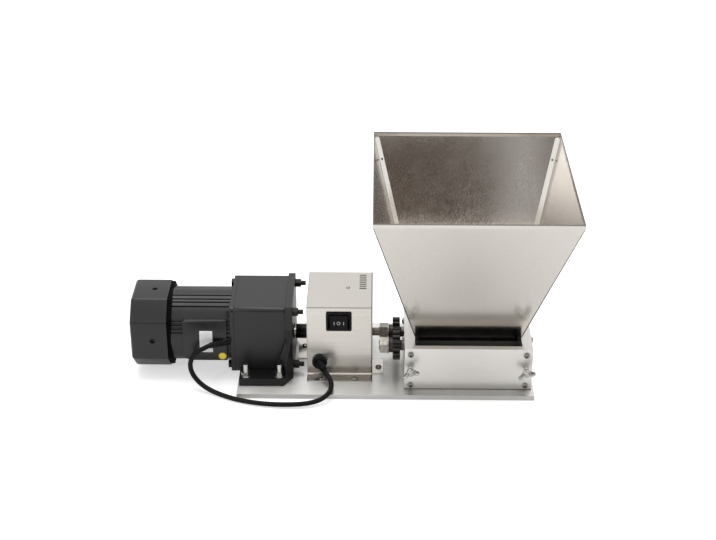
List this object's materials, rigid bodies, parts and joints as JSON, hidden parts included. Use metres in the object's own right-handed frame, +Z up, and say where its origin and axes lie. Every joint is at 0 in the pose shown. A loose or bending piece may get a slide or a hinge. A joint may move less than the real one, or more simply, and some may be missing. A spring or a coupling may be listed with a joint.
{
  "type": "electric grain mill",
  "caption": "Motor-driven two-roller grain mill on a flat base plate, with a sheet-metal hopper over the rollers, a coupling box with a rocker switch and a gear motor.",
  "frame": {"origin": "centre of the base plate's underside", "axes": "+X along the drive shaft from the motor to the mill, +Y away from the user, +Z up"},
  "size_m": [0.527, 0.259, 0.2675],
  "materials": {
    "brushed_aluminium": "brushed plate",
    "milled_aluminium": "fine milled plate",
    "polished_stainless": "brushed and half polished sheet",
    "satin_stainless": "satin sheet",
    "zinc_steel": "bright zinc",
    "black_steel": "black oxide",
    "bare_steel": "ground",
    "roller_steel": "knurled and hardened",
    "charcoal_paint": "satin paint on cast metal",
    "black_paint": "satin paint on cast iron",
    "bearing_bronze": "plain bearing",
    "copper_wire": "varnished wire",
    "black_gloss_plastic": "moulded",
    "black_plastic": "moulded",
    "white_plastic": "moulded",
    "cable_rubber": "extruded sheath",
    "red_rubber": "moulded"
  },
  "bodies": {
    "frame": {"base_plate": "brushed_aluminium", "side_plate_left": "milled_aluminium", "side_plate_right": "milled_aluminium", "front_cover": "milled_aluminium", "rear_cover": "milled_aluminium", "cover_screws": "zinc_steel", "side_plate_screws": "zinc_steel", "drive_bushes": "bearing_bronze", "hopper_front_panel": "polished_stainless", "hopper_rear_panel": "polished_stainless", "hopper_left_panel": "polished_stainless", "hopper_right_panel": "polished_stainless", "hopper_corner_strips": "polished_stainless", "hopper_screws": "zinc_steel", "box_shell": "satin_stainless", "box_left_panel": "satin_stainless", "box_right_panel": "satin_stainless", "box_screws": "zinc_steel", "switch_housing": "black_gloss_plastic", "run_capacitor": "white_plastic", "terminal_block": "white_plastic", "power_inlet": "black_plastic", "output_bearings": "bare_steel", "countershaft_bushes": "bearing_bronze", "gear_case": "charcoal_paint", "gear_case_lid": "charcoal_paint", "motor_bracket": "black_paint", "bracket_bolts": "black_steel", "bracket_nuts": "black_steel", "foot_bolts": "zinc_steel", "foot_nuts": "zinc_steel", "motor_housing": "charcoal_paint", "motor_end_plate": "charcoal_paint", "motor_bearings": "bare_steel", "stator_core": "bare_steel", "stator_windings": "copper_wire", "fan_cover": "charcoal_paint", "fan_cover_screws": "black_steel", "motor_cable_gland": "black_plastic", "box_cable_gland": "black_plastic", "motor_cable": "cable_rubber"},
    "drive_line": {"drive_roller": "roller_steel", "drive_gear": "black_steel", "drive_gear_nut": "zinc_steel", "coupling_hub_mill": "black_steel", "coupling_spider": "red_rubber", "coupling_hub_motor": "black_steel", "output_shaft": "bare_steel", "output_wheel": "bare_steel"},
    "counter_line": {"countershaft": "bare_steel"},
    "motor_rotor": {"rotor_core": "bare_steel", "motor_shaft": "bare_steel", "cooling_fan": "black_plastic"},
    "gap_carriage": {"bearing_blocks": "milled_aluminium"},
    "front_line": {"front_roller": "roller_steel", "front_gear": "black_steel", "front_gear_nut": "zinc_steel"},
    "left_wing": {"wing_screw_left": "zinc_steel"},
    "right_wing": {"wing_screw_right": "zinc_steel"},
    "rocker": {"switch_rocker": "black_gloss_plastic"}
  },
  "joints": [
    {"name": "drive_spin", "type": "hinge", "parent": "frame", "child": "drive_line", "pos_m": [0, 0, 0.044], "axis": [1, 0, 0], "continuous": true},
    {"name": "countershaft_spin", "type": "hinge", "parent": "frame", "child": "counter_line", "pos_m": [-0.15, 0.0195, 0.06478], "axis": [1, 0, 0], "continuous": true},
    {"name": "rotor_spin", "type": "hinge", "parent": "frame", "child": "motor_rotor", "pos_m": [-0.22, 0, 0.0555], "axis": [1, 0, 0], "continuous": true},
    {"name": "gap_slide", "type": "slide", "parent": "frame", "child": "gap_carriage", "axis": [0, -1, 0], "range_m": [0, 0.0015]},
    {"name": "front_roller_spin", "type": "hinge", "parent": "gap_carriage", "child": "front_line", "pos_m": [0, -0.0325, 0.044], "axis": [1, 0, 0], "continuous": true},
    {"name": "left_wing_turn", "type": "hinge", "parent": "gap_carriage", "child": "left_wing", "pos_m": [0.0305, -0.08, 0.036], "axis": [0, -1, 0], "range_deg": [0, 540]},
    {"name": "right_wing_turn", "type": "hinge", "parent": "gap_carriage", "child": "right_wing", "pos_m": [0.1695, -0.08, 0.036], "axis": [0, -1, 0], "range_deg": [0, 540]},
    {"name": "rocker_tip", "type": "hinge", "parent": "frame", "child": "rocker", "pos_m": [-0.05675, -0.038, 0.082], "axis": [0, 0, 1], "range_deg": [-12, 12]}
  ],
  "couplings": [
    {"joint": "countershaft_spin", "follows": "drive_spin", "ratio": -4},
    {"joint": "rotor_spin", "follows": "drive_spin", "ratio": 14},
    {"joint": "front_roller_spin", "follows": "drive_spin", "ratio": -1},
    {"joint": "left_wing_turn", "follows": "gap_slide", "rad_per_m": 6283},
    {"joint": "right_wing_turn", "follows": "gap_slide", "rad_per_m": 6283}
  ]
}
